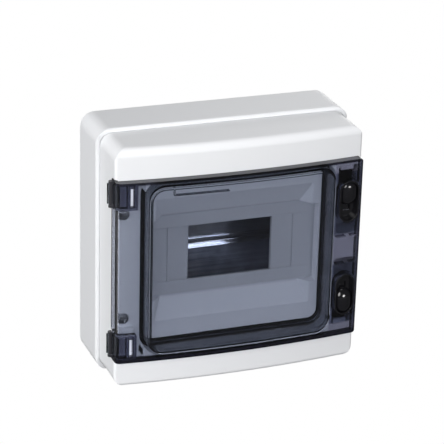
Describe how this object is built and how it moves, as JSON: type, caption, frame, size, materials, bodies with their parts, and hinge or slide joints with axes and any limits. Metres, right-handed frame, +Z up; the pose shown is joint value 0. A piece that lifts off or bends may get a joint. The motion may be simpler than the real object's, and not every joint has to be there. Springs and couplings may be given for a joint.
{
  "type": "dc combiner box",
  "caption": "Weatherproof wall box with a sunk module opening behind a smoked, hinged, latched door.",
  "frame": {"origin": "centre of the back face, in the middle of the four wall holes", "axes": "+X to the right seen from the front, +Y into the wall, +Z up; the door faces -Y"},
  "size_m": [0.2162, 0.1, 0.21],
  "materials": {
    "shell": "fine moulded grain, light grey-white",
    "smoked_door": "clear moulded plastic with a blue-grey smoke tint, polished",
    "grey_foam": "closed-cell foam cord, matte",
    "black_rubber": "soft, matte",
    "black_gloss": "polished black",
    "hinge_grey": "satin, dark grey",
    "screw_steel": "zinc plated",
    "rail_steel": "plated, brushed along its length",
    "terminal_brass": "drawn bar",
    "holder_blue": "moulded",
    "holder_green": "moulded"
  },
  "bodies": {
    "housing": {"base": "shell", "rim_seal": "grey_foam", "cover": "shell", "module_tray": "shell", "blank_left": "shell", "blank_right": "shell", "door_seal": "black_rubber", "hinge_upper": "hinge_grey", "hinge_lower": "hinge_grey", "cover_screws": "screw_steel", "screw_washers": "black_rubber", "back_plate": "rail_steel", "din_rail": "rail_steel", "rail_screws": "screw_steel", "bar_holder_upper": "holder_blue", "bar_holder_lower": "holder_green", "terminal_bar_upper": "terminal_brass", "terminal_bar_lower": "terminal_brass", "terminal_screws_upper": "screw_steel", "terminal_screws_lower": "screw_steel", "holder_screws": "screw_steel"},
    "door": {"door": "smoked_door", "latch_case_upper": "black_gloss", "latch_case_lower": "black_gloss"},
    "upper_latch": {"latch_upper": "black_gloss"},
    "lower_latch": {"latch_lower": "black_gloss"}
  },
  "joints": [
    {"name": "door_hinge", "type": "hinge", "parent": "housing", "child": "door", "pos_m": [-0.1059, -0.079, 0], "axis": [0, 0, -1], "range_deg": [0, 130]},
    {"name": "upper_latch_slide", "type": "slide", "parent": "door", "child": "upper_latch", "axis": [0, 0, -1], "range_m": [0, 0.012]},
    {"name": "lower_latch_slide", "type": "slide", "parent": "door", "child": "lower_latch", "axis": [0, 0, 1], "range_m": [0, 0.012]}
  ]
}
